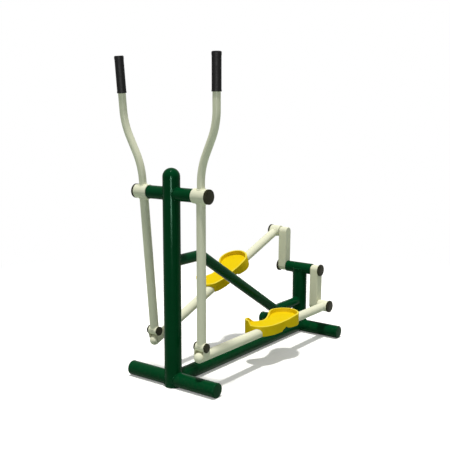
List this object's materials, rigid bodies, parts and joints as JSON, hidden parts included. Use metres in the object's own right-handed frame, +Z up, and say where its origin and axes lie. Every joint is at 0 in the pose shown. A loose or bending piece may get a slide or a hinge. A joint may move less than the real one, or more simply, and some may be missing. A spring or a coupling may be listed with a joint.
{
  "type": "outdoor air walker",
  "caption": "Outdoor elliptical walker: a steel frame with swinging hand levers, a rear crank, and pedal bars that carry foot-shaped trays.",
  "frame": {"origin": "middle of the main post's flat foot, on the ground", "axes": "+Z up; -Y is the way the user faces, from the rear crank to the main post; +X is the user's left"},
  "size_m": [0.612, 1.3581, 1.668],
  "materials": {
    "green_paint": "dark green powder coat, glossy",
    "cream_paint": "cream powder coat, glossy",
    "yellow_moulding": "yellow moulded plastic, satin",
    "grip_rubber": "black grip sleeve, matt",
    "black_cap": "near-black plastic end cap, satin",
    "bright_steel": "turned steel"
  },
  "bodies": {
    "frame": {"main_post": "green_paint", "post_foot_plate": "green_paint", "post_dome": "green_paint", "base_beam": "green_paint", "rear_cross_tube": "green_paint", "rear_post": "green_paint", "crank_head": "green_paint", "brace_tube": "green_paint", "cross_bar": "green_paint", "cross_axle": "bright_steel", "left_front_tube": "green_paint", "left_front_cap": "green_paint", "left_rear_cap": "green_paint", "left_crank_bearing": "bright_steel", "right_front_tube": "green_paint", "right_front_cap": "green_paint", "right_rear_cap": "green_paint", "right_crank_bearing": "bright_steel"},
    "crankset": {"crank_shaft": "bright_steel", "left_crank_arm": "cream_paint", "left_crank_cap": "black_cap", "right_crank_arm": "cream_paint", "right_crank_cap": "black_cap"},
    "left_lever": {"left_lever_hub": "cream_paint", "left_lever_tube": "cream_paint", "left_hand_tube": "cream_paint", "left_grip": "grip_rubber", "left_lever_bearing": "bright_steel", "left_hub_cap": "black_cap", "left_pivot_sleeve": "cream_paint"},
    "right_lever": {"right_lever_hub": "cream_paint", "right_lever_tube": "cream_paint", "right_hand_tube": "cream_paint", "right_grip": "grip_rubber", "right_lever_bearing": "bright_steel", "right_hub_cap": "black_cap", "right_pivot_sleeve": "cream_paint"},
    "left_pedal_bar": {"left_bar_tube": "cream_paint", "left_pivot_yoke": "cream_paint", "left_pivot_pin": "bright_steel", "left_outer_pivot_cap": "black_cap", "left_inner_pivot_cap": "black_cap", "left_pin_sleeve": "cream_paint", "left_pin_bearing": "bright_steel", "left_crank_pin": "bright_steel", "left_pin_cap": "black_cap", "left_pedal_bracket": "cream_paint", "left_pedal": "yellow_moulding"},
    "right_pedal_bar": {"right_bar_tube": "cream_paint", "right_pivot_yoke": "cream_paint", "right_pivot_pin": "bright_steel", "right_outer_pivot_cap": "black_cap", "right_inner_pivot_cap": "black_cap", "right_pin_sleeve": "cream_paint", "right_pin_bearing": "bright_steel", "right_crank_pin": "bright_steel", "right_pin_cap": "black_cap", "right_pedal_bracket": "cream_paint", "right_pedal": "yellow_moulding"}
  },
  "joints": [
    {"name": "crank_turn", "type": "hinge", "parent": "frame", "child": "crankset", "pos_m": [0, 1.229, 0.41], "axis": [1, 0, 0], "range_deg": [0, 90]},
    {"name": "left_lever_swing", "type": "hinge", "parent": "frame", "child": "left_lever", "pos_m": [0.187, 0, 0.991], "axis": [1, 0, 0], "range_deg": [0, 17.75]},
    {"name": "right_lever_swing", "type": "hinge", "parent": "frame", "child": "right_lever", "pos_m": [-0.187, 0, 0.991], "axis": [1, 0, 0], "range_deg": [-21.33, 0]},
    {"name": "left_bar_pivot", "type": "hinge", "parent": "left_lever", "child": "left_pedal_bar", "pos_m": [0.187, 0.00018, 0.241], "axis": [1, 0, 0], "range_deg": [-9.36, 0]},
    {"name": "right_bar_pivot", "type": "hinge", "parent": "right_lever", "child": "right_pedal_bar", "pos_m": [-0.187, 0.06876, 0.24416], "axis": [1, 0, 0], "range_deg": [0, 9.76]}
  ],
  "couplings": [
    {"joint": "left_lever_swing", "follows": "crank_turn", "ratio": 0.1972},
    {"joint": "right_lever_swing", "follows": "crank_turn", "ratio": -0.23695},
    {"joint": "left_bar_pivot", "follows": "crank_turn", "ratio": -0.10392},
    {"joint": "right_bar_pivot", "follows": "crank_turn", "ratio": 0.10841}
  ]
}
